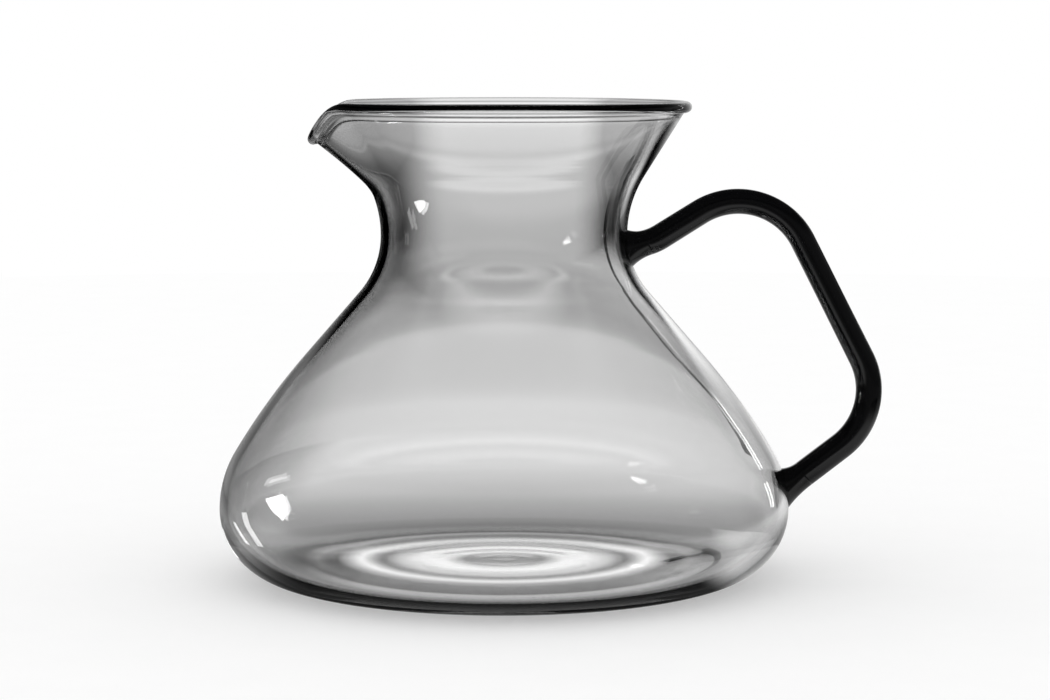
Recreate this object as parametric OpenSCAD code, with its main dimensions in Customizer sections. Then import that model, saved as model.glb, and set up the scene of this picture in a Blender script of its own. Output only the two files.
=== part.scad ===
// Blown glass coffee server with a wide low belly, a narrow waist and a flared
// mouth that is pulled down into a pouring lip. Its black glass rod handle is
// fused to the wall at two flared feet. The server stands on the plane z = 0
// with its axis on Z, the handle towards +X and the pouring lip towards -X.

/* [Belly and base] */
// Widest outer diameter
belly_d = 130; // [120:1:145]
// Radius of the outline from the widest point down
belly_low_r = 16; // [12:0.5:18]
// Radius of the outline from the widest point up
belly_up_r = 24.5; // [20:0.5:28]
// Radius of the heel that runs into the base ring
heel_r = 24; // [18:0.5:28]
// Angle at which the lower belly runs into the heel
heel_angle = 71; // [66:1:76]
// Width of the flat ring that the server stands on
ring_w = 3; // [2:0.5:5]
// Height of the hollow under the base, at its middle
punt_h = 1; // [0.6:0.1:2]

/* [Shoulder and neck] */
// Radius of the long shoulder
shoulder_r = 155; // [120:5:200]
// Lean of the wall where the belly runs into the shoulder
shoulder_angle = 31; // [28:1:34]
// Lean of the straight cone below the neck
cone_angle = 41; // [38:1:44]
// Outer diameter of the waist, the narrowest place
waist_d = 56; // [52:1:60]
// Radius of the neck below the waist
neck_low_r = 20; // [17:0.5:23]
// Radius of the neck above the waist
neck_up_r = 25; // [22:0.5:27]
// Lean of the flared mouth
flare_angle = 32; // [29:1:34]
// Outer diameter of the wall at the mouth
mouth_d = 83; // [80:1:86]

/* [Glass] */
// Thickness of the wall
wall_t = 1.8; // [1.5:0.1:2.2]
// Thickness of the base
base_t = 2.2; // [2:0.1:3]
// Thickness of the wall under the rim
lip_t = 1.4; // [1.3:0.05:1.5]
// Thickness of the wall where it runs into the bead, like a hanging drop
drop_t = 2.3; // [2:0.05:2.4]
// Stretch under the bead over which the wall thickens
drop_len = 3.2; // [2.5:0.1:5]
// Diameter of the rounded bead on the rim
bead_d = 2.5; // [2.4:0.1:2.8]
// Distance from the bead's middle out to the line of the outer wall
bead_inset = 0.25; // [0.2:0.05:0.3]

/* [Pouring lip] */
// Half of the angle of the rim that is pulled down
spout_half = 34; // [30:1:38]
// Drop of the tip below the rim
spout_drop = 7.3; // [6:0.1:9]
// Reach of the tip beyond the rim
spout_reach = 1.9; // [1:0.1:3]
// Sharpness of the tip, seen from above
spout_point = 1.3; // [1:0.1:1.6]

/* [Handle] */
// Diameter of the rod
rod_d = 6; // [5.5:0.1:7]
// How much thinner the rod is drawn in its two bends
bend_draw = 0.1; // [0.1:0.05:0.4]
// Fall from the waist to where the rod's axis meets the upper wall
weld_below = 3.3; // [2:0.1:5.5]
// Rise of the rod where it leaves the upper wall
weld_rise = 18; // [14:1:22]
// Radius of the slight bend next to the upper wall, on the rod's axis
weld_bend_r = 12; // [10:0.5:16]
// Rise of the upper arm
upper_rise = 32; // [30:1:34]
// Length of the straight upper arm
upper_len = 10.3; // [9:0.1:12]
// Radius of the upper bend, on the rod's axis
upper_bend_r = 16.6; // [15:0.1:18]
// Angle of the grip below the horizontal
grip_angle = 63; // [61:1:65]
// Length of the straight grip
grip_len = 30; // [28:0.5:33]
// Radius of the lower bend, on the rod's axis
lower_bend_r = 16.3; // [15:0.1:18]
// Fall of the lower arm back to the wall
lower_fall = 37.5; // [36:0.5:39]
// Diameter of each foot where it meets the wall
foot_d = 8.6; // [8:0.1:10]
// Length of each flared foot
foot_len = 4.4; // [3.5:0.1:5]

/* [Hidden] */
$fn = 96;

// Steps of the curves
arc_step = 4;
bead_steps = 12;
drop_steps = 4;
foot_steps = 6;
punt_steps = 6;
// How late the wall thickens into the bead, and a foot spreads onto the wall
drop_power = 1.5;
foot_power = 2.2;

// A direction in the section, at an angle above the radius
function along(a) = [cos(a), sin(a)];

// Section of the outer wall. Each joint is where two curves share a tangent.
belly_r = belly_d / 2;
waist_r = waist_d / 2;
mouth_r = mouth_d / 2;
bead_r = bead_d / 2;
rod_r = rod_d / 2;

heel_rise = heel_r * (1 - sin(heel_angle));
belly_z = heel_rise + belly_low_r * sin(heel_angle);
low_c = [belly_r - belly_low_r, belly_z];
heel_c = low_c + (belly_low_r - heel_r) * along(-heel_angle);
up_c = [belly_r - belly_up_r, belly_z];
shoulder_c = up_c + (belly_up_r - shoulder_r) * along(shoulder_angle);
cone_low = shoulder_c + shoulder_r * along(cone_angle);
cone_top_r = waist_r + neck_low_r * (1 - cos(cone_angle));
cone_len = (cone_low[0] - cone_top_r) / sin(cone_angle);
cone_top = cone_low + cone_len * along(cone_angle + 90);
neck_low_c = cone_top + neck_low_r * along(cone_angle);
waist_z = neck_low_c[1];
neck_up_c = [waist_r + neck_up_r, waist_z];
flare_low = neck_up_c - neck_up_r * along(-flare_angle);
flare_len = (mouth_r - flare_low[0]) / sin(flare_angle);
flare_top = flare_low + flare_len * along(90 - flare_angle);
rim_z = flare_top[1];

// Points of an arc as [place, angle of the outward normal]. The radius is
// negative where the wall curves in.
function arc(c, r, a0, a1) =
    let (n = max(2, ceil(abs(a1 - a0) / arc_step)))
    [for (i = [0:n]) let (a = a0 + (a1 - a0) * i / n) [c + r * along(a), a]];

function but_first(v) = [for (i = [1:len(v) - 1]) v[i]];

outer_low = concat(
    arc(heel_c, heel_r, -90, -heel_angle),
    but_first(arc(low_c, belly_low_r, -heel_angle, 0)),
    but_first(arc(up_c, belly_up_r, 0, shoulder_angle)),
    but_first(arc(shoulder_c, shoulder_r, shoulder_angle, cone_angle)),
    arc(neck_low_c, -neck_low_r, cone_angle, 0));
neck_up = but_first(arc(neck_up_c, -neck_up_r, 0, -flare_angle));
function flare_at(k) = [flare_low + flare_len * k * along(90 - flare_angle), -flare_angle];

// Rounded bead on the rim, in the tilted frame of the flared wall
bead_fill_share = 0.99;
bead_c = flare_top - bead_inset * along(-flare_angle);
bead_out = sqrt(bead_r * bead_r - bead_inset * bead_inset);
// The inner wall meets the bead near its innermost place
drop_in = bead_fill_share * bead_r;
bead_in = sqrt(bead_r * bead_r - drop_in * drop_in);
bead_a0 = atan2(-bead_out, bead_inset) - flare_angle;
bead_a1 = atan2(-bead_in, -drop_in) + 360 - flare_angle;
function bead(grow, shift) =
    [for (i = [0:bead_steps])
        bead_c + shift + (bead_r + grow) * along(bead_a0 + (bead_a1 - bead_a0) * i / bead_steps)];

// Thickness of the wall, from the base up to the lip and its drop
function smooth(x) = let (k = min(1, max(0, x))) k * k * (3 - 2 * k);
function drop(z) =
    pow(min(1, max(0, 1 - (rim_z - bead_in * cos(flare_angle) - z) / (drop_len * cos(flare_angle)))),
        drop_power);
function thick(z) =
    base_t + (wall_t - base_t) * smooth(z / belly_z)
    + (lip_t - wall_t) * smooth((z - waist_z) / (rim_z - waist_z))
    + (drop_t - lip_t) * drop(z);
function inner(p) = p[0] - thick(p[0][1]) * along(p[1]);

// Base ring and the shallow hollow inside it
ring_out = heel_c[0];
ring_in = ring_out - ring_w;
function punt(r) = punt_h * (1 - r * r / (ring_in * ring_in));

function places(v) = [for (p = v) p[0]];
function inners(v) = [for (i = [len(v) - 1:-1:0]) inner(v[i])];
outer_wall = concat(outer_low, neck_up);
// Wall from the start of the drop up to an edge of the bead, this far from the rim
drop_start = 1 - (bead_in + drop_len) / flare_len;
function drop_wall(edge) =
    [for (i = [0:drop_steps - 1])
        flare_at(drop_start + (1 - edge / flare_len - drop_start) * i / drop_steps)];

section = concat(
    places(outer_wall), bead(0, [0, 0]), inners(concat(outer_wall, drop_wall(bead_in))),
    [for (i = [0:punt_steps]) let (r = ring_in * (1 - i / punt_steps)) [r, base_t + punt(r)]],
    [for (i = [0:punt_steps]) let (r = ring_in * i / punt_steps) [r, punt(r)]]);

// Pouring lip. The wall above the neck is pushed out and down by an amount
// that falls to nothing at spout_half from the tip.
seam_angle = 47;
seam_over = 1;
seam_end = 3.5;
seam_rise = 9;
seam_z = waist_z + seam_rise;
seam_lap = 1.5;
seam_proud = 0.05;
seam_dive = -0.55;
spout_steps = 24;
flare_steps = 7;
rise_power = 1.2;

function bump(a) =
    abs(a) >= spout_half ? 0 : pow(0.5 + 0.5 * cos(180 * a / spout_half), spout_point);
function pull(z) = pow(max(0, (z - seam_z) / (rim_z - seam_z)), rise_power);
function spout_shift(a, z) = bump(a) * pull(z) * [spout_reach, -spout_drop];

// Wall of the pouring lip: from below the seam, up the neck's arc and the flare
function neck_at(z) = let (a = asin((waist_z - z) / neck_up_r)) [neck_up_c - neck_up_r * along(a), a];
function spout_wall(edge) = concat(
    [neck_at(seam_z - 2 * seam_lap), neck_at(seam_z - seam_lap / 2)],
    [for (i = [1:2]) neck_at(seam_z + (flare_low[1] - seam_z) * i / 3)],
    [for (i = [0:flare_steps - 1]) flare_at(drop_start * i / flare_steps)],
    drop_wall(edge));
spout_out = spout_wall(bead_out);
spout_in = spout_wall(bead_in);
rows = len(spout_out);
loop_n = 2 * rows + bead_steps + 1;

// Offset of the lip's skin from the plain wall: just proud of it, and deep
// inside it at the outer edges
function skin(row, edge) = (row == 0 || edge) ? seam_dive : seam_proud;

function spout_loop(a, edge) = concat(
    [for (i = [0:rows - 1]) let (p = spout_out[i])
        p[0] + skin(i, edge) * along(p[1]) + spout_shift(a, p[0][1])],
    bead(edge ? seam_dive : seam_proud, spout_shift(a, rim_z)),
    [for (i = [rows - 1:-1:0]) let (p = spout_in[i])
        inner(p) - skin(i, edge) * along(p[1]) + spout_shift(a, p[0][1])]);

column_a = concat(
    [-seam_angle - seam_end],
    [for (i = [0:spout_steps]) (seam_angle + seam_over) * (2 * i / spout_steps - 1)],
    [seam_angle + seam_end]);
columns = len(column_a);

function turned(p, a) = [-p[0] * cos(a), -p[0] * sin(a), p[1]];
spout_points = [for (j = [0:columns - 1])
    let (a = column_a[j], edge = j == 0 || j == columns - 1)
    for (p = spout_loop(a, edge)) turned(p, a)];

function at(j, i) = j * loop_n + (i + loop_n) % loop_n;
function quad(a, b, c, d) = [[a, b, c], [a, c, d]];
spout_sides = [for (j = [0:columns - 2]) for (i = [0:loop_n - 1])
    for (t = quad(at(j, i), at(j, i + 1), at(j + 1, i + 1), at(j + 1, i))) t];
function cap(j, flip) = [for (i = [0:floor(loop_n / 2) - 1])
    for (t = quad(at(j, i), at(j, loop_n - 1 - i), at(j, loop_n - 2 - i), at(j, i + 1)))
        if (t[0] != t[1] && t[1] != t[2] && t[0] != t[2]) flip ? [t[2], t[1], t[0]] : t];

module pouring_lip() {
    polyhedron(
        points = spout_points,
        faces = concat(spout_sides, cap(0, false), cap(columns - 1, true)),
        convexity = 8);
}

// Wedge taken out of the turned wall, where the pouring lip takes its place
module lip_gap() {
    reach = mouth_d;
    side = reach * sin(seam_angle);
    front = reach * cos(seam_angle);
    translate([0, 0, seam_z])
        linear_extrude(mouth_d)
            polygon([[0, 0], [-front, side], [-reach, side], [-reach, -side], [-front, -side]]);
}

module glass_body() {
    color([0.86, 0.88, 0.88, 0.35])
        union() {
            difference() {
                rotate_extrude() polygon(section);
                lip_gap();
            }
            pouring_lip();
        }
}

// Space that the glass body fills, with its hollow closed
module body_space() {
    rotate_extrude()
        polygon(concat([[0, 0]], places(outer_wall), [[0, rim_z]]));
}

// Line of the handle in the plane of the axis: corner places and arc centres.
// A short straight stretch joins the upper foot to the slight bend next to it.
bend_lap = 0.5;
weld_stub = 0.6;
weld_z = waist_z - weld_below;
function radius_at(z) =
    neck_low_c[0] - sqrt(neck_low_r * neck_low_r - (waist_z - z) * (waist_z - z));
weld_start = [radius_at(weld_z), weld_z];
weld_end = weld_start + (foot_len + weld_stub) * along(weld_rise);
weld_c = weld_end + weld_bend_r * along(weld_rise + 90);
upper_start = weld_c + weld_bend_r * along(upper_rise - 90);
upper_end = upper_start + upper_len * along(upper_rise);
upper_c = upper_end + upper_bend_r * along(upper_rise - 90);
grip_start = upper_c + upper_bend_r * along(90 - grip_angle);
grip_end = grip_start + grip_len * along(-grip_angle);
lower_c = grip_end - lower_bend_r * along(90 - grip_angle);
lower_start = lower_c + lower_bend_r * along(lower_fall - 90);
// The lower arm runs on to the upright line of the widest belly
lower_len = (lower_start[0] - belly_r) / cos(lower_fall);
lower_end = lower_start - lower_len * along(lower_fall);

// Straight stretch of rod from a place in the handle's plane. It runs on into
// the bends at its start and end by the laps given.
module rod(from, angle, length, lap_start, lap_end) {
    translate([from[0], 0, from[1]])
        rotate([0, 90 - angle, 0])
            translate([0, 0, -lap_start])
                cylinder(d = rod_d, h = lap_start + length + lap_end);
}

// Bend of the rod about a centre, between two angles above the radius
module bend(centre, radius, from, to) {
    translate([centre[0], 0, centre[1]])
        rotate([90, 0, 0])
            rotate([0, 0, from])
                rotate_extrude(angle = to - from)
                    translate([radius, 0])
                        circle(d = rod_d - bend_draw);
}

module handle_rod() {
    color([0.03, 0.03, 0.03])
        union() {
            rod(weld_start + foot_len * along(weld_rise), weld_rise, weld_stub, 0, bend_lap);
            bend(weld_c, weld_bend_r, weld_rise - 90, upper_rise - 90);
            rod(upper_start, upper_rise, upper_len, bend_lap, bend_lap);
            bend(upper_c, upper_bend_r, 90 - grip_angle, 90 + upper_rise);
            rod(grip_start, -grip_angle, grip_len, bend_lap, bend_lap);
            bend(lower_c, lower_bend_r, lower_fall - 90, 90 - grip_angle);
            rod(lower_start, 180 + lower_fall, lower_len - foot_len, bend_lap, 0);
        }
}

// Flared foot: a rod end that spreads in a hollow curve as it nears the wall.
// It runs on into the glass body, which is then taken out of it.
foot_sink = 5;
function foot_r(k) = rod_r + (foot_d / 2 - rod_r) * pow(1 - k, foot_power);
module flared_foot() {
    rotate_extrude()
        polygon(concat(
            [[0, -foot_sink], [foot_r(0), -foot_sink]],
            [for (i = [0:foot_steps]) [foot_r(i / foot_steps), foot_len * i / foot_steps]],
            [[0, foot_len]]));
}

module upper_weld_foot() {
    color([0.03, 0.03, 0.03])
        difference() {
            translate([weld_start[0], 0, weld_start[1]])
                rotate([0, 90 - weld_rise, 0])
                    flared_foot();
            body_space();
        }
}

module lower_weld_foot() {
    color([0.03, 0.03, 0.03])
        difference() {
            translate([lower_end[0], 0, lower_end[1]])
                rotate([0, 90 - lower_fall, 0])
                    flared_foot();
            body_space();
        }
}

glass_body();
handle_rod();
upper_weld_foot();
lower_weld_foot();
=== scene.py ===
"""Glass coffee server: a clear blown body and a black glass rod handle fused to it.

The pieces are surfaces worked out with numpy round the axis of the body and
along the line of the rod. Lengths are in metres, in the frame of the CAD: the
server stands on z = 0, its handle points to +X and its pouring lip to -X.
"""

import math

import bpy
import numpy as np
from bpy.props import FloatProperty, FloatVectorProperty, PointerProperty
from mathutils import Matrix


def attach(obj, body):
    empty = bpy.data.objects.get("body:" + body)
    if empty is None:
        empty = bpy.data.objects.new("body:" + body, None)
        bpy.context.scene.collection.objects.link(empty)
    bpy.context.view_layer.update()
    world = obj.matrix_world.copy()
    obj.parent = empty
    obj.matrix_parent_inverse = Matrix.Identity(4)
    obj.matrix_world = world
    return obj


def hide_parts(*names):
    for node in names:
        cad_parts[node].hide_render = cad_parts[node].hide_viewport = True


bl_info = {
    "name": "Glass Coffee Server",
    "version": (1, 0, 0),
    "blender": (4, 5, 0),
    "location": "View3D > Sidebar > Server",
    "description": "Makes a blown glass coffee server with a fused rod handle",
    "category": "Add Mesh",
}

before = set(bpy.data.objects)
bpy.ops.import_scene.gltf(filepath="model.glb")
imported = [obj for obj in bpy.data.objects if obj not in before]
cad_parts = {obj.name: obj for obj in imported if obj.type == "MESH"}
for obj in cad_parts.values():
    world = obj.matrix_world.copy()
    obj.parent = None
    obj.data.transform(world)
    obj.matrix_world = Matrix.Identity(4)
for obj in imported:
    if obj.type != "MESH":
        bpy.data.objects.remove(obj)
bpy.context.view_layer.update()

MM = 0.001
# The rod's thickness against its nominal one, in the middle of each of its parts: upper arm,
# upper bend, grip, lower bend and lower arm
ROD_SHARES = (0.985, 0.95, 0.96, 1.0, 1.02)
# Points round the rod and its feet, and round the studio's surfaces
ROD_SIDES = 48
STAGE_SIDES = 128
# Units of the rod's UV to a metre of its length
UV_RATE = 10
# Radius of the hole in the lit table, where the light under the base takes over
TABLE_HOLE = 75 * MM


def length(name, description, mm):
    """A length property whose default is given in millimetres."""
    return FloatProperty(
        name=name, description=description, default=mm * MM, unit="LENGTH", precision=4, step=0.01)


def angle(name, description, degrees):
    """An angle property whose default is given in degrees."""
    return FloatProperty(
        name=name, description=description, default=math.radians(degrees), unit="ROTATION")


def number(name, description, value, low=0.0, high=100.0):
    """A plain number property."""
    return FloatProperty(name=name, description=description, default=value, min=low, max=high)


def linear(hex_code):
    """An sRGB hex colour as linear red, green, blue and alpha."""
    srgb = np.array([int(hex_code[i:i + 2], 16) for i in (0, 2, 4)]) / 255
    low, high = srgb / 12.92, ((srgb + 0.055) / 1.055) ** 2.4
    return (*np.where(srgb <= 0.04045, low, high).tolist(), 1.0)


def colour(name, description, hex_code):
    """A colour property whose default is an sRGB hex code."""
    return FloatVectorProperty(
        name=name, description=description, default=linear(hex_code), size=4,
        subtype="COLOR", min=0.0, max=1.0)


class ServerBody(bpy.types.PropertyGroup):
    """Sizes of the blown body."""

    belly_d: length("Belly", "Widest outer diameter", 130)
    belly_low_r: length("Belly, below", "Radius of the outline below the widest place", 16)
    belly_up_r: length("Belly, above", "Radius of the outline above the widest place", 24.5)
    heel_r: length("Heel", "Radius of the heel that runs into the base", 24)
    heel_angle: angle("Heel angle", "Lean at which the belly runs into the heel", 71)
    ring_w: length("Base ring", "Width of the ring that the server stands on", 3)
    punt_h: length("Hollow", "Height of the hollow under the base", 1)
    shoulder_r: length("Shoulder", "Radius of the long shoulder", 155)
    shoulder_angle: angle("Shoulder angle", "Lean where the shoulder starts", 31)
    cone_angle: angle("Cone angle", "Lean of the straight cone below the neck", 41)
    waist_d: length("Waist", "Outer diameter of the narrowest place", 56)
    neck_low_r: length("Neck, below", "Radius of the outline below the waist", 20)
    neck_up_r: length("Neck, above", "Radius of the outline above the waist", 25)
    flare_angle: angle("Flare", "Lean of the flared mouth", 32)
    mouth_d: length("Mouth", "Outer diameter of the wall at the mouth", 83)
    wall_t: length("Wall", "Thickness of the wall", 1.8)
    base_t: length("Base", "Thickness of the base", 2.2)
    lip_t: length("Lip", "Thickness of the wall under the rim", 1.4)
    bead_d: length("Bead", "Diameter of the fire-polished bead", 2.5)
    bead_inset: length("Bead inset", "Bead's middle in from the outer wall", 0.25)
    spout_half: angle("Lip half", "Half of the angle of the rim that is pulled down", 34)
    spout_drop: length("Lip drop", "Drop of the lip's tip below the rim", 7.3)
    spout_reach: length("Lip reach", "Reach of the lip's tip beyond the rim", 1.9)
    spout_point: number("Lip point", "Sharpness of the lip's tip from above", 1.3)
    rise_power: number("Lip curve", "How late the wall turns out into the lip", 1.2)
    drop_t: length("Rim drop", "Thickness of the wall where it runs into the bead", 2.3)
    drop_len: length("Rim drop length", "Stretch under the bead over which the wall thickens", 3.2)
    ripple_h: length("Ripple", "Height of the ripples in the floor", 0.06)
    ripple_gap: length("Ripple gap", "Distance from ripple to ripple", 9)
    seam_rise: length("Lip start", "Height above the waist at which the lip starts", 9)


class ServerHandle(bpy.types.PropertyGroup):
    """Sizes of the rod and its feet."""

    rod_d: length("Rod", "Diameter of the rod", 6)
    weld_below: length("Upper weld", "Fall from the waist to the rod's upper end", 3.3)
    weld_rise: angle("Weld rise", "Rise of the rod where it leaves the upper wall", 18)
    weld_bend_r: length("Weld bend", "Radius of the slight bend next to the upper wall", 12)
    weld_stub: length("Weld stub", "Straight stretch between the upper foot and its bend", 0.6)
    upper_rise: angle("Upper rise", "Rise of the upper arm", 32)
    upper_len: length("Upper arm", "Length of the straight upper arm", 10.3)
    upper_bend_r: length("Upper bend", "Radius of the upper bend", 16.6)
    grip_angle: angle("Grip angle", "Angle of the grip below the horizontal", 63)
    grip_len: length("Grip", "Length of the straight grip", 30)
    lower_bend_r: length("Lower bend", "Radius of the lower bend", 16.3)
    lower_fall: angle("Lower fall", "Fall of the lower arm back to the wall", 37.5)
    foot_d: length("Foot", "Diameter of a foot where it meets the wall", 8.6)
    foot_len: length("Foot length", "Length of a flared foot", 4.4)
    foot_power: number("Foot curve", "How late a foot spreads as it nears the wall", 2.2)


class ServerFinish(bpy.types.PropertyGroup):
    """Colours of the two glasses."""

    clear: colour("Clear glass", "Tint of the clear glass", "fafafa")
    black: colour("Black glass", "Colour of the black glass", "060607")


class ServerStudio(bpy.types.PropertyGroup):
    """Camera, floor and light."""

    camera_distance: length("Camera distance", "Camera to the server's axis", 700)
    camera_height: length("Camera height", "Camera above the floor", 124.9)
    camera_pitch: angle("Camera pitch", "How far the camera looks down", 5.93)
    camera_yaw: angle("Camera yaw", "How far the camera is turned to the right", 0.39)
    lens: number("Lens", "Focal length for a sensor 36 wide", 105.72, 1.0, 500.0)
    floor_r: length("Floor", "Radius of the floor", 900)
    backdrop_r: length("Backdrop", "Radius of the round backdrop", 300)
    card_light: number("Cards", "Radiance of the lit cards beside the server", 14.0, 0.0, 500.0)


def along(a):
    """Directions in the section at angles a above the radius, one for each row."""
    a = np.asarray(a, float)
    return np.stack([np.cos(a), np.sin(a)], -1)


def arc(centre, radius, start, end, reach=1.0 * MM, turn=math.radians(2.5)):
    """Points of an arc and the angles of its outward normal.

    Point i is centre + radius * (cos a, sin a), with a in equal steps from start
    to end. The radius is negative where the wall curves in.
    """
    sweep = abs(end - start)
    steps = max(2, math.ceil(sweep / turn), math.ceil(sweep * abs(radius) / reach))
    a = np.linspace(start, end, steps + 1)
    return centre + radius * along(a), a


def straight(start, end, normal, reach=1.0 * MM):
    """Points of a straight stretch in equal steps, all with the same normal angle."""
    steps = max(2, math.ceil(np.linalg.norm(end - start) / reach))
    k = np.linspace(0, 1, steps + 1)[:, None]
    return start + (end - start) * k, np.full(steps + 1, normal)


def smooth(x):
    """Smooth step from 0 to 1: 3x^2 - 2x^3 between 0 and 1."""
    k = np.clip(x, 0, 1)
    return k * k * (3 - 2 * k)


class Outline:
    """Section of the body's outer wall, worked out from its sizes.

    Each joint is where two curves share a tangent, so each centre follows from
    the one before it.
    """

    def __init__(self, s):
        self.s = s
        self.belly_r, self.waist_r, self.mouth_r = s.belly_d / 2, s.waist_d / 2, s.mouth_d / 2
        self.bead_r = s.bead_d / 2
        rise = s.heel_r * (1 - math.sin(s.heel_angle))
        self.belly_z = rise + s.belly_low_r * math.sin(s.heel_angle)
        self.low_c = np.array([self.belly_r - s.belly_low_r, self.belly_z])
        self.heel_c = self.low_c + (s.belly_low_r - s.heel_r) * along(-s.heel_angle)
        self.up_c = np.array([self.belly_r - s.belly_up_r, self.belly_z])
        self.shoulder_c = self.up_c + (s.belly_up_r - s.shoulder_r) * along(s.shoulder_angle)
        self.cone_low = self.shoulder_c + s.shoulder_r * along(s.cone_angle)
        top_r = self.waist_r + s.neck_low_r * (1 - math.cos(s.cone_angle))
        run = (self.cone_low[0] - top_r) / math.sin(s.cone_angle)
        self.cone_top = self.cone_low + run * along(s.cone_angle + math.pi / 2)
        self.neck_low_c = self.cone_top + s.neck_low_r * along(s.cone_angle)
        self.waist_z = self.neck_low_c[1]
        self.neck_up_c = np.array([self.waist_r + s.neck_up_r, self.waist_z])
        self.flare_low = self.neck_up_c - s.neck_up_r * along(-s.flare_angle)
        run = (self.mouth_r - self.flare_low[0]) / math.sin(s.flare_angle)
        self.flare_top = self.flare_low + run * along(math.pi / 2 - s.flare_angle)
        self.rim_z = self.flare_top[1]
        self.ring_in = self.heel_c[0] - s.ring_w
        self.seam_z = self.waist_z + s.seam_rise

    def wall(self):
        """Points and normal angles of the outer wall, from the base ring up to the rim."""
        s = self.s
        runs = [
            arc(self.heel_c, s.heel_r, -math.pi / 2, -s.heel_angle),
            arc(self.low_c, s.belly_low_r, -s.heel_angle, 0),
            arc(self.up_c, s.belly_up_r, 0, s.shoulder_angle),
            arc(self.shoulder_c, s.shoulder_r, s.shoulder_angle, s.cone_angle),
            straight(self.cone_low, self.cone_top, s.cone_angle),
            arc(self.neck_low_c, -s.neck_low_r, s.cone_angle, 0),
            arc(self.neck_up_c, -s.neck_up_r, 0, -s.flare_angle),
            straight(self.flare_low, self.flare_top, -s.flare_angle),
        ]
        points = np.concatenate([runs[0][0][:1]] + [p[1:] for p, _ in runs])
        angles = np.concatenate([runs[0][1][:1]] + [a[1:] for _, a in runs])
        return points, angles

    def thick(self, z):
        """Wall thickness at height z.

        It goes from base to wall up to the belly, from wall to lip between waist and rim,
        and from lip to drop just under the bead, with the power 1.5 of the way there.
        """
        s = self.s
        above = smooth((z - self.waist_z) / (self.rim_z - self.waist_z))
        low = (z - self.rim_z) / math.cos(s.flare_angle) + s.drop_len
        drop = np.clip(low / s.drop_len, 0, 1) ** 1.5
        return (s.base_t + (s.wall_t - s.base_t) * smooth(z / self.belly_z)
                + (s.lip_t - s.wall_t) * above + (s.drop_t - s.lip_t) * drop)

    def punt(self, r):
        """Height of the hollow under the base at radius r: a shallow paraboloid."""
        return self.s.punt_h * (1 - (r / self.ring_in) ** 2)

    def ripple(self, r):
        """Height of the floor's ripples at radius r: a cosine that dies out to the edge."""
        s = self.s
        return s.ripple_h * np.cos(math.tau * r / s.ripple_gap) * (1 - smooth(r / self.ring_in))

    def bead(self):
        """Points of the rim's bead, from the outer wall over the top to the inner wall."""
        s = self.s
        centre = self.flare_top - s.bead_inset * along(-s.flare_angle)
        # The bead ends just short of its innermost point
        inner = 0.99 * self.bead_r
        start = math.atan2(-math.sqrt(self.bead_r ** 2 - s.bead_inset ** 2), s.bead_inset)
        end = math.atan2(-math.sqrt(self.bead_r ** 2 - inner ** 2), -inner) + math.tau
        return arc(centre, self.bead_r, start - s.flare_angle, end - s.flare_angle,
                   turn=math.radians(9))[0]

    def radius_at(self, z):
        """Radius of the outer wall at height z, below the rim."""
        points, _ = self.wall()
        return float(np.interp(z, points[:, 1], points[:, 0]))

    def pull(self, z):
        """How much of the lip's shift reaches height z: none at the seam, all at the rim."""
        rise = np.clip((z - self.seam_z) / (self.rim_z - self.seam_z), 0, None)
        return rise ** self.s.rise_power

    def bump(self, a):
        """How much of the lip's shift reaches angle a from the tip: a sharpened cosine."""
        s = self.s
        wave = 0.5 + 0.5 * np.cos(np.pi * np.clip(np.abs(a) / s.spout_half, 0, 1))
        return wave ** s.spout_point


def round_columns(fine_half, fine_step, coarse_step, fade=0.3, samples=4001):
    """Angles round the axis, close together within fine_half of angle 0.

    The step at each angle is inverted: equal steps of the running sum of the
    wanted density give the columns. The density falls over a further fade of
    fine_half.
    """
    a = np.linspace(-np.pi, np.pi, samples)
    near = smooth((fine_half * (1 + fade) - np.abs(a)) / (fine_half * fade))
    density = (near / fine_step + (1 - near) / coarse_step)[:-1]
    total = np.concatenate([[0], np.cumsum(density) * (a[1] - a[0])])
    count = round(total[-1])
    return np.interp(np.arange(count) * total[-1] / count, total, a)


def ring_faces(rows, columns):
    """Quads of a closed grid: row i, column j joins row i + 1, column j + 1.

    Going round the axis comes first and going along the profile second, so the
    faces look outwards where the outline goes up on the outside.
    """
    i, j = np.meshgrid(np.arange(rows - 1), np.arange(columns), indexing="ij")
    k = (j + 1) % columns
    corners = [i * columns + j, i * columns + k, (i + 1) * columns + k, (i + 1) * columns + j]
    return np.stack(corners, -1).reshape(-1, 4)


def fan_faces(row_start, columns, pole, closing):
    """Triangles from one row to a pole, turned the other way when closing the end."""
    j = np.arange(columns)
    k = (j + 1) % columns
    one, two = (j, k) if closing else (k, j)
    return np.stack([row_start + one, row_start + two, np.full(columns, pole)], -1)


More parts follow.
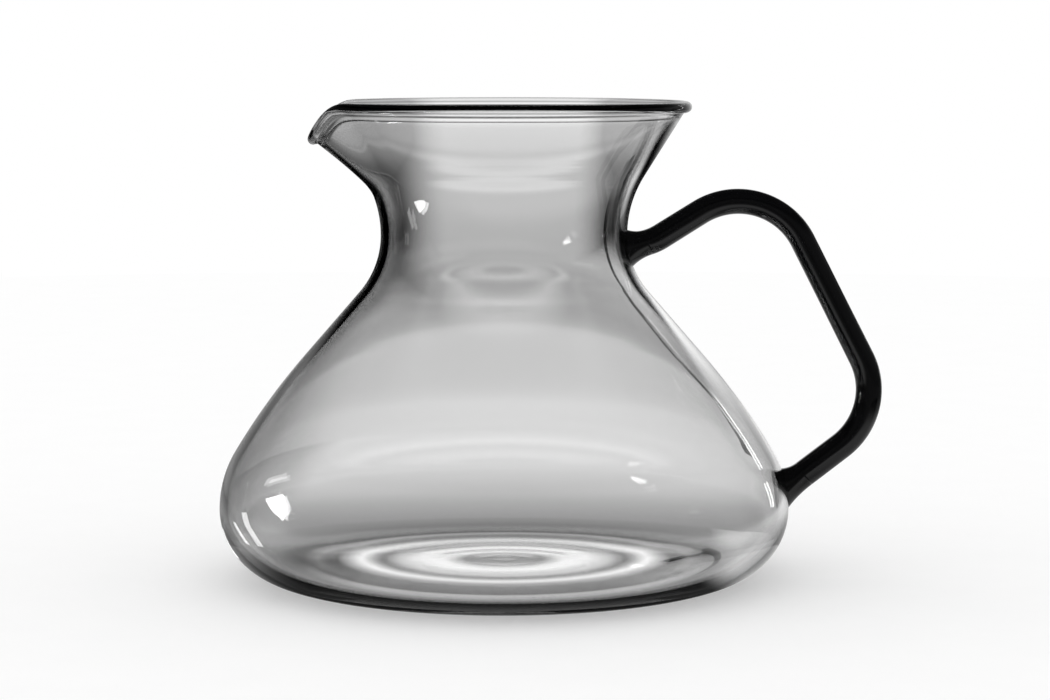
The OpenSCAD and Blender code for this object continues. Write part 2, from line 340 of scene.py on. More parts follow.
def new_piece(name, grid, poles, material, node, uv=None):
    """A closed mesh object, smooth shaded, riding on the root in place of a CAD node.

    The grid holds rows of points round the piece. The first and the last row are
    each closed onto a pole, the point in their middle.
    """
    rows, columns = grid.shape[:2]
    last = rows * columns
    points = np.concatenate([grid.reshape(-1, 3), poles])
    faces = ring_faces(rows, columns).tolist()
    faces += fan_faces(0, columns, last, False).tolist()
    faces += fan_faces(last - columns, columns, last + 1, True).tolist()
    mesh = bpy.data.meshes.new(name)
    mesh.from_pydata(points.tolist(), [], faces)
    mesh.polygons.foreach_set("use_smooth", np.ones(len(faces), bool))
    if uv is not None:
        uv = np.concatenate([uv, [[0.5, 0.0], [0.5, 1.0]]])
        layer = mesh.uv_layers.new(name="rod")
        index = np.empty(len(mesh.loops), np.int32)
        mesh.loops.foreach_get("vertex_index", index)
        layer.data.foreach_set("uv", uv[index].ravel())
    mesh.materials.append(material)
    mesh.update()
    piece = bpy.data.objects.new(name, mesh)
    bpy.context.scene.collection.objects.link(piece)
    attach(piece, "root")
    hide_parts(node)


def add(tree, kind, settings=None, links=None):
    """Adds a node. A setting is a property of the node, the value of an input or the grey
    stops of a ramp, and a link gives the output that feeds an input."""
    node = tree.nodes.new(kind)
    for key, value in (settings or {}).items():
        if key == "stops":
            ramp = node.color_ramp
            while len(ramp.elements) < len(value):
                ramp.elements.new(1.0)
            for element, (place, grey) in zip(ramp.elements, value):
                element.position = place
                element.color = (grey, grey, grey, 1.0)
        elif isinstance(key, str) and hasattr(node, key):
            setattr(node, key, value)
        else:
            node.inputs[key].default_value = value
    for key, output in (links or {}).items():
        tree.links.new(output, node.inputs[key])
    return node


def empty_tree(owner):
    """The owner's node tree, with its nodes taken out."""
    owner.use_nodes = True
    owner.node_tree.nodes.clear()
    return owner.node_tree


def blown_borosilicate(tint):
    """Clear borosilicate glass, blown and fire polished.

    The eye sees no roughness, reflections that wander a little over faint waves from
    the blowing, and edges that are drawn dark, because the glass is faintly grey in
    its depth. Shadow and diffuse rays go straight through with a little held back,
    so that it throws a pale shadow.
    """
    material = bpy.data.materials.new("blown_borosilicate_glass")
    tree = empty_tree(material)
    place = add(tree, "ShaderNodeTexCoord")
    # The waves are about 70 mm wide, 25 mm high and 0.06 mm deep
    stretch = add(tree, "ShaderNodeMapping", {"Scale": (1 / 0.07, 1 / 0.07, 1 / 0.025)},
                  {"Vector": place.outputs["Object"]})
    wave = add(tree, "ShaderNodeTexNoise", {"Scale": 1.0, "Detail": 1.5, "Roughness": 0.4},
               {"Vector": stretch.outputs[0]})
    bump = add(tree, "ShaderNodeBump", {"Strength": 1.0, "Distance": 0.06 * MM},
               {"Height": wave.outputs[0]})
    glass = add(tree, "ShaderNodeBsdfPrincipled",
                {"Base Color": tint, "Transmission Weight": 1.0, "Roughness": 0.0, "IOR": 1.474},
                {"Normal": bump.outputs[0]})
    path = add(tree, "ShaderNodeLightPath")
    plain = add(tree, "ShaderNodeMath", {"operation": "MAXIMUM"},
                {0: path.outputs["Is Shadow Ray"], 1: path.outputs["Is Diffuse Ray"]})
    clear = add(tree, "ShaderNodeBsdfTransparent", {"Color": linear("ececec")})
    mixed = add(tree, "ShaderNodeMixShader", None,
                {0: plain.outputs[0], 1: glass.outputs[0], 2: clear.outputs[0]})
    # This grey takes about a sixth of the light over 10 mm of glass
    depth = add(tree, "ShaderNodeVolumeAbsorption", {"Color": linear("cacaca"), "Density": 45.0})
    add(tree, "ShaderNodeOutputMaterial", None,
        {"Surface": mixed.outputs[0], "Volume": depth.outputs[0]})
    return material


def drawn_black_glass(tint):
    """Opaque black glass, drawn to a rod in the flame. The rod and its feet share it.

    The eye sees a deep gloss, broken up a little by faint lines along the draw.
    """
    name = "drawn_black_glass"
    if name in bpy.data.materials:
        return bpy.data.materials[name]
    material = bpy.data.materials.new(name)
    tree = empty_tree(material)
    place = add(tree, "ShaderNodeUVMap", {"uv_map": "rod"})
    # The UV's unit is 9.4 mm round the rod, half its turn, and 100 mm along it, so that the
    # lines are about 1 mm wide and 3.3 mm long. They are 0.006 mm deep
    stretch = add(tree, "ShaderNodeMapping", {"Scale": (9.0, 30.0, 1.0)},
                  {"Vector": place.outputs[0]})
    lines = add(tree, "ShaderNodeTexNoise", {"Scale": 1.0, "Detail": 3.0},
                {"Vector": stretch.outputs[0]})
    gloss = add(tree, "ShaderNodeMapRange", {"To Min": 0.03, "To Max": 0.09},
                {"Value": lines.outputs[0]})
    bump = add(tree, "ShaderNodeBump", {"Strength": 1.0, "Distance": 0.006 * MM},
               {"Height": lines.outputs[0]})
    glass = add(tree, "ShaderNodeBsdfPrincipled", {"Base Color": tint, "IOR": 1.5},
                {"Roughness": gloss.outputs[0], "Normal": bump.outputs[0]})
    add(tree, "ShaderNodeOutputMaterial", None, {"Surface": glass.outputs[0]})
    return material


class SERVER_OT_glass_body(bpy.types.Operator):
    """Blow the clear body with its bead and pouring lip"""

    bl_idname = "server.glass_body"
    bl_label = "Blow Glass Body"

    def execute(self, context):
        s = context.scene.server_body
        outline = Outline(s)
        outer, normal = outline.wall()
        inner = outer - outline.thick(outer[:, 1])[:, None] * along(normal)
        bead = outline.bead()
        # The walls' last rows lie inside the bead, so the bead's two ends stand for them
        gap = 0.3 * MM
        keep = outer[:, 1] < bead[0, 1] - gap
        keep_in = inner[:, 1] < bead[-1, 1] - gap
        base_rows = 60
        r = np.linspace(0, outline.ring_in, base_rows + 1)[1:]
        under = np.stack([r, outline.punt(r)], -1)
        floor = np.stack([r, s.base_t + outline.punt(r) + outline.ripple(r)], -1)[::-1]
        rim = np.full(len(bead), outline.rim_z)
        profile = np.concatenate([under, outer[keep], bead, inner[keep_in][::-1], floor])
        # Both faces of the wall take the lip's shift of the same height, and the bead that
        # of the rim, so that the wall keeps its thickness
        height = np.concatenate([0 * r, outer[keep, 1], rim, outer[keep_in, 1][::-1], 0 * r])

        a = round_columns(s.spout_half, fine_step=math.radians(1.1), coarse_step=math.radians(2.2))
        shift = outline.bump(a)[None, :] * outline.pull(height)[:, None]
        radius = profile[:, :1] + shift * s.spout_reach
        z = profile[:, 1:] - shift * s.spout_drop
        grid = np.stack([-radius * np.cos(a), -radius * np.sin(a), z], -1)
        poles = np.array([[0, 0, outline.punt(0)], [0, 0, s.base_t + outline.punt(0) + s.ripple_h]])
        glass = blown_borosilicate(context.scene.server_finish.clear)
        new_piece("blown_body", grid, poles, glass, "glass_body")
        return {"FINISHED"}


class RodLine:
    """Line of the handle in the plane of the axis, from the upper wall to the lower wall."""

    def __init__(self, h, outline):
        quarter = math.pi / 2
        up, down, fall = h.upper_rise, h.grip_angle, h.lower_fall
        weld_z = outline.waist_z - h.weld_below
        self.start = np.array([outline.radius_at(weld_z), weld_z])
        weld_end = self.start + (h.foot_len + h.weld_stub) * along(h.weld_rise)
        weld_c = weld_end + h.weld_bend_r * along(h.weld_rise + quarter)
        arm_start = weld_c + h.weld_bend_r * along(up - quarter)
        arm_end = arm_start + h.upper_len * along(up)
        upper_c = arm_end + h.upper_bend_r * along(up - quarter)
        grip_start = upper_c + h.upper_bend_r * along(quarter - down)
        grip_end = grip_start + h.grip_len * along(-down)
        lower_c = grip_end - h.lower_bend_r * along(quarter - down)
        lower_start = lower_c + h.lower_bend_r * along(fall - quarter)
        lower_len = (lower_start[0] - outline.belly_r) / math.cos(fall)
        self.end = lower_start - lower_len * along(fall)
        step = 0.8 * MM
        runs = [
            straight(self.start, weld_end, 0, step)[0],
            arc(weld_c, h.weld_bend_r, h.weld_rise - quarter, up - quarter, step)[0],
            straight(arm_start, arm_end, 0, step)[0],
            arc(upper_c, h.upper_bend_r, quarter + up, quarter - down, step)[0],
            straight(grip_start, grip_end, 0, step)[0],
            arc(lower_c, h.lower_bend_r, quarter - down, fall - quarter, step)[0],
            straight(lower_start, self.end, 0, step)[0],
        ]
        self.points = np.concatenate([runs[0][:1]] + [p[1:] for p in runs])
        gaps = np.linalg.norm(np.diff(self.points, axis=0), axis=1)
        self.travel = np.concatenate([[0], np.cumsum(gaps)])
        weld_len = h.foot_len + h.weld_stub + h.weld_bend_r * (up - h.weld_rise)
        self.parts = np.cumsum([0, weld_len + h.upper_len, h.upper_bend_r * (up + down), h.grip_len,
                                h.lower_bend_r * (np.pi - down - fall), lower_len])


def tube(line, travel, radius, sides):
    """A tube round a line in the XZ plane.

    Ring i stands square to the line at point i: its point at angle b is
    line + radius * (cos b * side + sin b * Y), where side is the line's tangent
    turned a quarter. The UV is the share of half a turn, there and back, and the
    way along the line.
    """
    tangent = np.gradient(line, travel, axis=0)
    tangent /= np.linalg.norm(tangent, axis=1, keepdims=True)
    side = np.stack([tangent[:, 1], -tangent[:, 0]], -1)
    b = np.arange(sides) * math.tau / sides
    flat = line[:, None] + radius[:, None, None] * np.cos(b)[None, :, None] * side[:, None]
    deep = radius[:, None] * np.sin(b)[None, :]
    grid = np.stack([flat[..., 0], deep, flat[..., 1]], -1)
    turn = np.abs(np.arange(sides) / sides * 2 - 1)
    uv = np.stack(np.broadcast_arrays(turn[None, :], travel[:, None] * UV_RATE), -1)
    return grid, uv.reshape(-1, 2)


class SERVER_OT_handle_rod(bpy.types.Operator):
    """Draw and bend the black glass rod"""

    bl_idname = "server.handle_rod"
    bl_label = "Bend Handle Rod"

    def execute(self, context):
        h = context.scene.server_handle
        line = RodLine(h, Outline(context.scene.server_body))
        first, end = h.foot_len, line.travel[-1] - h.foot_len
        gap = 0.2 * MM
        inside = (line.travel > first + gap) & (line.travel < end - gap)
        travel = np.concatenate([[first], line.travel[inside], [end]])
        points = np.stack([np.interp(travel, line.travel, p) for p in line.points.T], -1)
        middles = (line.parts[1:] + line.parts[:-1]) / 2
        radius = h.rod_d / 2 * np.interp(travel, middles, ROD_SHARES)
        grid, uv = tube(points, travel, radius, ROD_SIDES)
        ends = np.array([[points[0, 0], 0, points[0, 1]], [points[-1, 0], 0, points[-1, 1]]])
        glass = drawn_black_glass(context.scene.server_finish.black)
        new_piece("bent_rod", grid, ends, glass, "handle_rod", uv)
        return {"FINISHED"}


def flared_foot(h, outline, start, rise, rod_r):
    """A foot that spreads onto the wall, as a grid of rows along the rod and sides round it.

    Row k, between 0 on the wall and 1 on the rod, has the radius
    rod + (foot - rod) * (1 - k)^power. Each side starts where a line beside the
    axis of the rod, at the foot's radius, meets the body, which is found by halving.
    """
    steps, halvings = 14, 30
    search = 8 * MM
    # The foot's edge and its pole lie a little inside the wall, and its top a little over
    # the rod's end
    edge_sunk, pole_sunk, overlap = 0.25 * MM, 0.3 * MM, 0.4 * MM
    axis = np.array([math.cos(rise), 0, math.sin(rise)])
    side = np.array([math.sin(rise), 0, -math.cos(rise)])
    deep = np.array([0, 1, 0])
    origin = np.array([start[0], 0, start[1]])
    b = np.arange(ROD_SIDES) * math.tau / ROD_SIDES
    ring = np.cos(b)[:, None] * side + np.sin(b)[:, None] * deep
    wall, _ = outline.wall()

    def outside(p):
        """How far points lie outside the wall: their radius less the wall's at their height."""
        return np.hypot(p[:, 0], p[:, 1]) - np.interp(p[:, 2], wall[:, 1], wall[:, 0])

    low, high = np.full(ROD_SIDES, -search), np.full(ROD_SIDES, h.foot_len)
    for _ in range(halvings):
        middle = (low + high) / 2
        out = outside(origin + h.foot_d / 2 * ring + middle[:, None] * axis) > 0
        low, high = np.where(out, low, middle), np.where(out, middle, high)
    first = high - edge_sunk
    k = np.linspace(0, 1, steps + 1)[:, None]
    radius = rod_r + (h.foot_d / 2 - rod_r) * (1 - k) ** h.foot_power
    far = first[None, :] * (1 - k) + (h.foot_len + overlap) * k
    grid = origin + radius[..., None] * ring + far[..., None] * axis
    uv = np.stack(np.broadcast_arrays(np.abs(b[None, :] / np.pi - 1), far * UV_RATE), -1)
    ends = np.stack([origin + (first.mean() - pole_sunk) * axis, origin + far[-1, 0] * axis])
    return grid, uv.reshape(-1, 2), ends


class SERVER_OT_weld_feet(bpy.types.Operator):
    """Flare the rod's two ends onto the body"""

    bl_idname = "server.weld_feet"
    bl_label = "Flare Weld Feet"

    def execute(self, context):
        h = context.scene.server_handle
        outline = Outline(context.scene.server_body)
        line = RodLine(h, outline)
        glass = drawn_black_glass(context.scene.server_finish.black)
        feet = [("upper_foot", "upper_weld_foot", line.start, h.weld_rise, ROD_SHARES[0]),
                ("lower_foot", "lower_weld_foot", line.end, h.lower_fall, ROD_SHARES[-1])]
        for name, node, start, rise, share in feet:
            grid, uv, ends = flared_foot(h, outline, start, rise, h.rod_d / 2 * share)
            new_piece(name, grid, ends, glass, node, uv)
        return {"FINISHED"}


def stage_material(name):
    """A material that lights nothing by itself, its node tree and its place in the room."""
    material = bpy.data.materials.new(name)
    material.cycles.emission_sampling = "NONE"
    tree = empty_tree(material)
    place = add(tree, "ShaderNodeTexCoord").outputs["Object"]
    return material, tree, place


def glow(tree, level):
    """Ends a stage material in a light whose strength is the level, a number or an output."""
    if isinstance(level, float):
        light = add(tree, "ShaderNodeEmission", {"Strength": level})
    else:
        light = add(tree, "ShaderNodeEmission", None, {"Strength": level})
    add(tree, "ShaderNodeOutputMaterial", None, {"Surface": light.outputs[0]})


def light_curve(tree, value, stops, low, high):
    """How bright a stage surface is along a value, with stops on the value's own scale.

    The stops of the backdrop, the table and the light under the base follow the
    photograph: its brightness was looked up where traced rays land, set against what
    the glass lets through there, rounded, and then adjusted against the render.
    """
    span = add(tree, "ShaderNodeMapRange", {"From Min": low, "From Max": high}, {"Value": value})
    stops = [((place - low) / (high - low), grey) for place, grey in stops]
    return add(tree, "ShaderNodeValToRGB", {"stops": stops}, {0: span.outputs[0]}).outputs[0]


def in_metres(stops):
    """Stops whose places are in millimetres, as metres."""
    return [(place * MM, grey) for place, grey in stops]


def circle(radius, z=0.0, columns=STAGE_SIDES):
    """Points radius * (cos a, sin a) at a height z."""
    a = np.arange(columns) * math.tau / columns
    return np.stack([radius * np.cos(a), radius * np.sin(a), 0 * a + z], -1)


def unseen(name, points, faces, material):
    """A stage surface that the camera and matt surfaces don't see: only glass and gloss do."""
    mesh = bpy.data.meshes.new(name)
    mesh.from_pydata(points.tolist(), [], faces)
    mesh.materials.append(material)
    surface = bpy.data.objects.new(name, mesh)
    bpy.context.scene.collection.objects.link(surface)
    surface.visible_camera = False
    surface.visible_diffuse = False
    surface.visible_shadow = False


def studio_world(scene):
    """World of a bright-field glass shot.

    The camera sees white. Matt surfaces get even white light. Glass and gloss
    see the studio past the backdrop: a table that darkens away from the server,
    and a dark ceiling. The stops are degrees above the horizon.
    """
    world = bpy.data.worlds.new("bright_field_studio")
    scene.world = world
    world.cycles.sampling_method = "NONE"
    tree = empty_tree(world)
    place = add(tree, "ShaderNodeTexCoord")
    parts = add(tree, "ShaderNodeSeparateXYZ", None, {0: place.outputs["Generated"]})
    stops = [(-90, 0.9), (-55, 0.9), (-40, 0.45), (-12, 0.4), (8, 0.3), (12, 0.05), (90, 0.02)]
    seen = light_curve(tree, parts.outputs["Z"],
                       [(math.sin(math.radians(e)), grey) for e, grey in stops], -1.0, 1.0)
    path = add(tree, "ShaderNodeLightPath")
    shiny = add(tree, "ShaderNodeMath", {"operation": "MAXIMUM"},
                {0: path.outputs["Is Glossy Ray"], 1: path.outputs["Is Transmission Ray"]})
    level = add(tree, "ShaderNodeMix", {"data_type": "FLOAT", 2: 1.0},
                {0: shiny.outputs[0], 3: seen})
    light = add(tree, "ShaderNodeBackground", {"Color": linear("ffffff")},
                {"Strength": level.outputs[0]})
    add(tree, "ShaderNodeOutputWorld", None, {"Surface": light.outputs[0]})


def backdrop(radius, high):
    """A round backdrop of white cloth on the server's axis, lit from behind.

    Its brightness is a curve of the height in millimetres, times a curve of the
    angle in degrees from the middle of the back towards +X. The lamps behind it
    reach further to the left below 40 mm than they do above 60 mm.
    """
    material, tree, place = stage_material("lit_backdrop_cloth")
    parts = add(tree, "ShaderNodeSeparateXYZ", None, {0: place})
    height = light_curve(tree, parts.outputs["Z"], in_metres([
        (0, 0.95), (6, 0.95), (10, 0.86), (14, 0.82), (24, 0.82), (28, 0.84), (29.5, 0.78),
        (31, 0.64), (34, 0.56), (39, 0.52), (46, 0.57), (60, 0.6), (68, 0.66), (72.5, 0.67),
        (74, 0.87), (75, 0.92), (76.5, 0.82), (78, 0.74), (80.5, 0.85), (84, 0.86), (90, 0.9),
        (95, 1.0), (125, 1.03), (160, 1.0), (185, 0.7), (210, 0.35),
        (250, 0.15), (300, 0.1)]), -MM, high)
    turn = add(tree, "ShaderNodeMath", {"operation": "ARCTAN2"},
               {0: parts.outputs["X"], 1: parts.outputs["Y"]})
    below = [(-180, 0.08), (-75, 0.05), (-60, 0.05), (-45, 0.12), (-36, 0.25), (-28, 0.3),
             (-24, 0.38), (-20, 0.5), (-16, 0.7), (-12, 0.95), (18, 1.0), (22, 1.15),
             (28, 0.95), (34, 0.7), (42, 0.4), (55, 0.2), (75, 0.1), (180, 0.08)]
    above = [(-180, 0.06), (-75, 0.04), (-60, 0.04), (-30, 0.2), (-24, 0.15), (-18, 0.15),
             (-14, 0.5), (-10, 0.9), (-6, 1.0), (11, 1.0), (14, 1.2), (18, 1.4), (26, 1.1),
             (32, 0.8), (40, 0.5), (50, 0.25), (75, 0.1), (180, 0.06)]
    wide, slim = (light_curve(tree, turn.outputs[0],
                              [(math.radians(a), grey) for a, grey in stops], -math.pi, math.pi)
                  for stops in (below, above))
    rise = add(tree, "ShaderNodeMapRange",
               {"interpolation_type": "SMOOTHSTEP", "From Min": 40 * MM, "From Max": 60 * MM},
               {"Value": parts.outputs["Z"]})
    lamps = add(tree, "ShaderNodeMix", {"data_type": "FLOAT"},
                {0: rise.outputs[0], 2: wide, 3: slim})
    level = add(tree, "ShaderNodeMath", {"operation": "MULTIPLY"},
                {0: height, 1: lamps.outputs[0]})
    glow(tree, level.outputs[0])
    points = np.concatenate([circle(radius, -MM), circle(radius, high)])
    unseen("backdrop", points, ring_faces(2, STAGE_SIDES).tolist(), material)


def lit_table(inner, outer):
    """The table round the server as glass sees it: a ring between two radii, just under the floor.
    Its brightness is painted light and shade: it darkens towards the server, which is the server's
    painted shadow, towards the camera and out to both sides, sooner on the left. Its curves are of
    millimetres."""
    material, tree, place = stage_material("lit_table_top")
    parts = add(tree, "ShaderNodeSeparateXYZ", None, {0: place})
    far = add(tree, "ShaderNodeVectorMath", {"operation": "LENGTH"}, {0: place})
    # Painted shadow of the server on the table: the nearer the server, the darker
    rings = light_curve(tree, far.outputs["Value"], in_metres([
        (75, 0.42), (109, 0.57), (132, 0.71), (152, 0.78), (197, 0.9), (243, 0.94),
        (300, 0.95)]), 0.0, outer)
    sides = light_curve(tree, parts.outputs["X"], in_metres([
        (-300, 0.05), (-140, 0.15), (-110, 0.3), (-90, 0.5), (-72, 0.7), (-58, 1.0), (95, 1.0),
        (150, 0.9), (200, 0.3), (300, 0.1)]), -outer, outer)
    # Painted shade towards the camera: in front of the server the table stays lit only in a band
    # from about 100 to 270 mm out
    behind = add(tree, "ShaderNodeMapRange",
                 {"interpolation_type": "SMOOTHSTEP", "From Min": -40 * MM, "From Max": 0.0},
                 {"Value": parts.outputs["Y"]})
    away = light_curve(tree, far.outputs["Value"], in_metres([
        (70, 0.0), (100, 1.0), (150, 0.8), (200, 0.3), (270, 0.08)]), 0.0, outer)
    clear = add(tree, "ShaderNodeMath", {"operation": "MAXIMUM"}, {0: behind.outputs[0], 1: away})
    level = add(tree, "ShaderNodeMath", {"operation": "MULTIPLY"}, {0: rings, 1: sides})
    level = add(tree, "ShaderNodeMath", {"operation": "MULTIPLY"},
                {0: level.outputs[0], 1: clear.outputs[0]})
    glow(tree, level.outputs[0])
    depth = -0.5 * MM
    points = np.concatenate([circle(inner, depth), circle(outer, depth)])
    unseen("lit_table", points, ring_faces(2, STAGE_SIDES).tolist(), material)


def under_light(outline, radius):
    """The light that reaches the base from below, painted on: the bright and dark rings that the
    thick floor throws, and past them, under the base ring and the heel, the server's painted
    shadow.

    The surface lies 0.05 mm under the hollow, at the hollow's height at each radius, and
    under the table's face past it. Its brightness is twice a curve of the radius r in
    millimetres, shifted to r - 0.1 y, with one curve for the front and one for the back
    of the base, and no less than a level that rises out to the right.
    """
    material, tree, place = stage_material("light_under_base")
    parts = add(tree, "ShaderNodeSeparateXYZ", None, {0: place})
    far = add(tree, "ShaderNodeVectorMath", {"operation": "LENGTH"}, {0: place})
    shifted = add(tree, "ShaderNodeMath", {"operation": "MULTIPLY_ADD", 1: -0.1},
                  {0: parts.outputs["Y"], 2: far.outputs["Value"]})
    # Painted light and shade: rings of thrown light, then dark from about 38 mm out, the server's
    # painted shadow under its base ring and heel
    front = [(0, 0.3), (3, 0.7), (7.5, 0.75), (10, 0.2), (12, 0.02), (14, 0.3), (16, 0.52),
             (18.5, 0.5), (21, 0.28), (25, 0.38), (27, 0.1), (28.6, 0.0), (30.3, 0.3), (32, 0.62),
             (34, 0.35), (35.2, 0.15), (38.5, 0.0), (45.5, 0.0), (46.5, 0.2), (47.5, 0.3),
             (50.6, 0.22), (52.8, 0.15), (56, 0.02), (62, 0.0), (75, 0.0)]
    rear = [(0, 0.25), (2, 0.05), (9, 0.05), (12, 0.6), (14, 0.9), (19, 0.9), (24, 0.5),
            (27, 0.1), (28, 0.0), (30, 0.3), (33, 1.0), (36, 0.4), (38.7, 0.0), (41, 0.05),
            (43.2, 0.17), (47, 0.04), (48.6, 0.05), (53, 0.1), (57, 0.14), (61.2, 0.17),
            (66, 0.19), (70, 0.2), (75, 0.22)]
    front, rear = (light_curve(tree, shifted.outputs[0], in_metres(stops), 0.0, radius)
                   for stops in (front, rear))
    back = add(tree, "ShaderNodeMapRange",
               {"interpolation_type": "SMOOTHSTEP", "From Min": -36 * MM, "From Max": 4 * MM},
               {"Value": parts.outputs["Y"]})
    rings = add(tree, "ShaderNodeMix", {"data_type": "FLOAT"},
                {0: back.outputs[0], 2: front, 3: rear})
    right = add(tree, "ShaderNodeMapRange",
                {"interpolation_type": "SMOOTHSTEP", "From Min": 45 * MM, "From Max": 58 * MM,
                 "To Max": 0.35}, {"Value": parts.outputs["X"]})
    level = add(tree, "ShaderNodeMath", {"operation": "MAXIMUM"},
                {0: rings.outputs[0], 1: right.outputs[0]})
    double = add(tree, "ShaderNodeMath", {"operation": "MULTIPLY", 1: 2.0},
                 {0: level.outputs[0]})
    glow(tree, double.outputs[0])
    hollow_rows = 30
    gap = 0.05 * MM
    r = np.concatenate([np.linspace(MM, outline.ring_in, hollow_rows), [radius]])
    z = np.clip(outline.punt(r), 0, None) - gap
    points = np.concatenate([circle(ring_r, ring_z) for ring_r, ring_z in zip(r, z)])
    middle = [list(range(STAGE_SIDES))]
    faces = middle + ring_faces(hollow_rows + 1, STAGE_SIDES).tolist()
    unseen("under_light", points, faces, material)


def flag(name, dark, clear, foot):
    """A black cloth 50 mm behind the server's axis, upright across the table.

    It thins out from its dark edge to its clear one, down its foot and, by six tenths,
    up its top, and goes on past its dark edge. All its sizes are in millimetres.
    """
    depth, top, height = 50, (82, 97), 125
    material, tree, place = stage_material(name)
    parts = add(tree, "ShaderNodeSeparateXYZ", None, {0: place})
    fades = [("X", dark, clear, 1.0), ("Z", foot[1], foot[0], 1.0), ("Z", *top, 0.6)]
    side, low, high = (add(tree, "ShaderNodeMapRange", {
        "interpolation_type": "SMOOTHSTEP", "From Min": none * MM, "From Max": full * MM,
        "To Max": most}, {"Value": parts.outputs[axis]}) for axis, none, full, most in fades)
    edges = add(tree, "ShaderNodeMath", {"operation": "MAXIMUM"},
                {0: side.outputs[0], 1: low.outputs[0]})
    thin = add(tree, "ShaderNodeMath", {"operation": "MAXIMUM"},
               {0: edges.outputs[0], 1: high.outputs[0]})
    cloth = add(tree, "ShaderNodeBsdfTransparent", None, {"Color": thin.outputs[0]})
    add(tree, "ShaderNodeOutputMaterial", None, {"Surface": cloth.outputs[0]})
    far = dark * 4
    corners = np.array([(far, depth, foot[0]), (clear, depth, foot[0]), (clear, depth, height),
                        (far, depth, height)]) * MM
    unseen(name, corners, [(0, 1, 2, 3)], material)


# The cards round the server: name, share of the cards' radiance, and corners in millimetres
CARDS = [
    # Two panes of the window at the left, which the belly and the neck reflect. Their corners
    # are where rays from the corners of the photographed reflections were traced to
    ("window_pane_low", 1.0, [
        (-110, -13, 34), (-110, -26, 45), (-110, -36, 34), (-110, -36, 21), (-110, -23, 27)]),
    ("window_pane_high", 1 / 5, [
        (-110, -3, 43), (-110, 0, 51), (-110, -11, 64), (-110, -16, 61)]),
    # A slim upright lamp and the dark gap beside it, which run down the right shoulder, drawn
    # round places found in the same way
    ("strip_lamp", 0.3, [
        (228, 163, 4), (233, 157, 4), (234, 155, 48), (215, 178, 90), (205, 191, 135),
        (204, 192, 190), (202, 194, 190), (201, 195, 135), (211, 184, 90), (229, 161, 48)]),
    ("dark_gap", 0.0, [
        (68, 282, 62), (78, 279, 40), (97, 273, 25), (105, 270, 6),
        (99, 273, 6), (91, 275, 25), (72, 281, 40), (62, 283, 62)]),
    # Two strips of sun on the table, which draw the white arcs low on the left, drawn in the
    # same way
    ("sun_patch_near", 1 / 9, [
        (-76, 79, -0.02), (-73, 79, -0.02), (-59, 13, -0.02), (-61, 13, -0.02)]),
    ("sun_patch_far", 1 / 5, [
        (-80, 55, -0.02), (-77, 55, -0.02), (-64, 11, -0.02), (-66, 11, -0.02)]),
]


def lit_card(name, radiance, corners):
    """A card or pane of even light between its corners, which are in millimetres."""
    material, tree, _ = stage_material(name)
    glow(tree, radiance)
    unseen(name, np.array(corners) * MM, [list(range(len(corners)))], material)


def white_paper():
    """Matt white paper, pressed: the eye sees faint mottling and the server's shadow."""
    material = bpy.data.materials.new("matt_white_paper")
    tree = empty_tree(material)
    place = add(tree, "ShaderNodeTexCoord")
    # The spots are about 17 mm wide
    mottle = add(tree, "ShaderNodeTexNoise", {"Scale": 1 / 0.017, "Detail": 2.0},
                 {"Vector": place.outputs["Object"]})
    tone = add(tree, "ShaderNodeMix", {"data_type": "RGBA", 6: linear("fdfdfd"),
                                       7: linear("ffffff")}, {0: mottle.outputs[0]})
    paper = add(tree, "ShaderNodeBsdfDiffuse", None, {"Color": tone.outputs[2]})
    add(tree, "ShaderNodeOutputMaterial", None, {"Surface": paper.outputs[0]})
    return material


def pale_floor(scene, radius, sides=96):
    """A round sheet of paper on z = 0. Glass and gloss don't see it: they see the lit table."""
    mesh = bpy.data.meshes.new("floor")
    mesh.from_pydata(circle(radius, columns=sides).tolist(), [], [list(range(sides))])
    mesh.materials.append(white_paper())
    floor = bpy.data.objects.new("floor", mesh)
    scene.collection.objects.link(floor)
    floor.visible_transmission = False
    floor.visible_glossy = False


def photo_camera(scene, studio):
    """The camera at the photograph's viewing angle, in front of the server on -Y."""
    camera = bpy.data.cameras.new("camera")
    camera.sensor_width = 36
    camera.lens = studio.lens
    eye = bpy.data.objects.new("camera", camera)
    scene.collection.objects.link(eye)
    eye.location = (0, -studio.camera_distance, studio.camera_height)
    eye.rotation_euler = (math.pi / 2 - studio.camera_pitch, 0, -studio.camera_yaw)
    scene.camera = eye


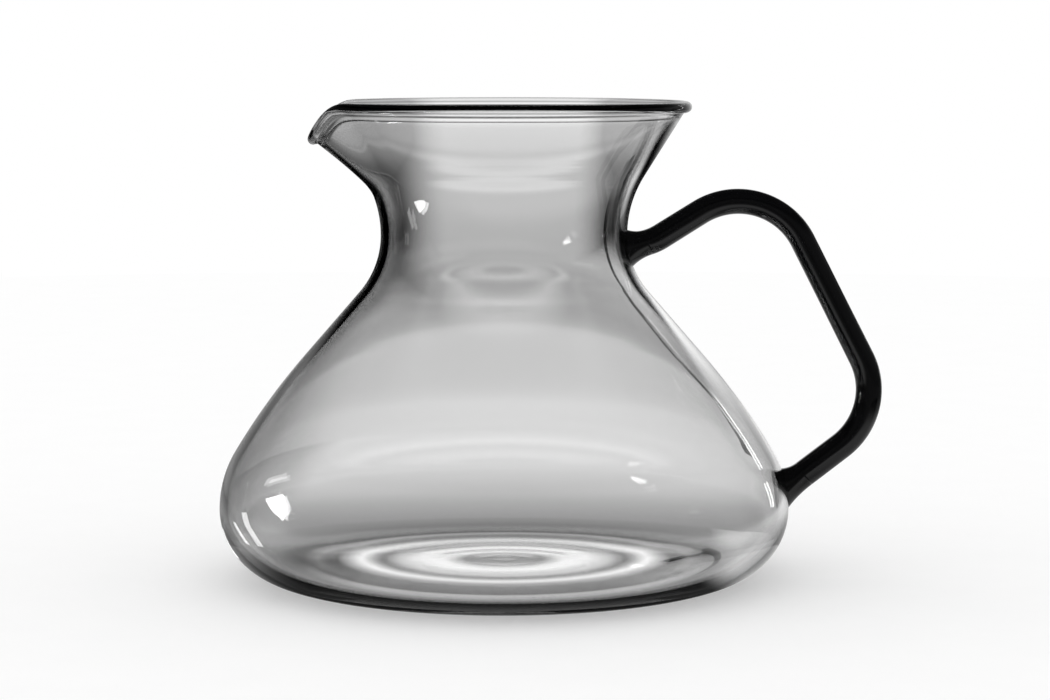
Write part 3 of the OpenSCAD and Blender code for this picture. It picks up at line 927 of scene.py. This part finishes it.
class SERVER_OT_studio(bpy.types.Operator):
    """Set the camera, the floor and the light"""

    bl_idname = "server.studio"
    bl_label = "Set Studio"

    def execute(self, context):
        scene = context.scene
        studio = scene.server_studio
        scene.view_settings.view_transform = "Standard"
        # Light crosses many faces of glass on its way through the server
        scene.cycles.max_bounces = 32
        scene.cycles.transmission_bounces = 32
        scene.cycles.glossy_bounces = 16
        scene.cycles.transparent_max_bounces = 16
        photo_camera(scene, studio)
        pale_floor(scene, studio.floor_r)
        studio_world(scene)
        backdrop(studio.backdrop_r, high=300 * MM)
        lit_table(TABLE_HOLE, studio.backdrop_r)
        under_light(Outline(scene.server_body), TABLE_HOLE)
        flag("left_flag", dark=-35, clear=-14, foot=(56, 70))
        flag("right_flag", dark=35, clear=18, foot=(68, 76))
        for name, share, corners in CARDS:
            lit_card(name, studio.card_light * share, corners)
        return {"FINISHED"}


class SERVER_PT_panel(bpy.types.Panel):
    """Lists the server's pieces"""

    bl_label = "Glass Coffee Server"
    bl_space_type = "VIEW_3D"
    bl_region_type = "UI"
    bl_category = "Server"

    def draw(self, context):
        column = self.layout.column()
        for operator in OPERATORS:
            column.operator(operator.bl_idname)
        for group in GROUPS:
            column.separator()
            values = getattr(context.scene, group)
            for name in values.__annotations__:
                column.prop(values, name)


GROUPS = {"server_body": ServerBody, "server_handle": ServerHandle,
          "server_finish": ServerFinish, "server_studio": ServerStudio}
OPERATORS = (SERVER_OT_glass_body, SERVER_OT_handle_rod, SERVER_OT_weld_feet, SERVER_OT_studio)


def register():
    """Registers the classes and hangs the groups of values on the scene."""
    for group in GROUPS.values():
        bpy.utils.register_class(group)
    for operator in OPERATORS:
        bpy.utils.register_class(operator)
    bpy.utils.register_class(SERVER_PT_panel)
    for name, group in GROUPS.items():
        setattr(bpy.types.Scene, name, PointerProperty(type=group))


def unregister():
    """Takes the groups of values and the classes away again."""
    for name in GROUPS:
        delattr(bpy.types.Scene, name)
    bpy.utils.unregister_class(SERVER_PT_panel)
    for operator in reversed(OPERATORS):
        bpy.utils.unregister_class(operator)
    for group in reversed(GROUPS.values()):
        bpy.utils.unregister_class(group)


def main():
    register()
    for operator in OPERATORS:
        group, name = operator.bl_idname.split(".")
        getattr(getattr(bpy.ops, group), name)()


if __name__ == "__main__":
    main()
